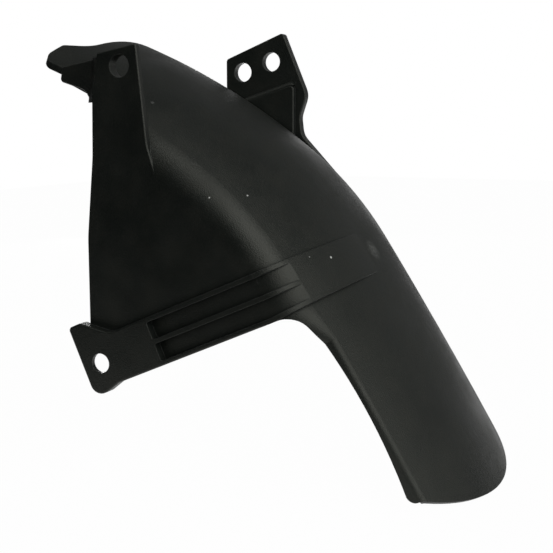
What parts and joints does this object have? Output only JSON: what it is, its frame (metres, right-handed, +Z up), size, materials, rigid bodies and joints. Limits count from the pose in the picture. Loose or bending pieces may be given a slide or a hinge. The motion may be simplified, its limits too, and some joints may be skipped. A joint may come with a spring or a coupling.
{
  "type": "motor scooter rear mudguard",
  "caption": "Crowned black plastic mudguard that covers a scooter's rear wheel, with a drooping tail, bolt-on ears on both sides and a pocketed side strut ending in a lug.",
  "frame": {"origin": "centre of the left ear's bolt hole, on the ear's outer face", "axes": "+X to the rear of the vehicle, +Y from the left side to the right side, +Z up"},
  "size_m": [0.2337, 0.137, 0.2308],
  "materials": {
    "moulding": "fine moulded grain, black, semi-matt"
  },
  "bodies": {
    "root": {"mudguard": "moulding"}
  },
  "joints": []
}
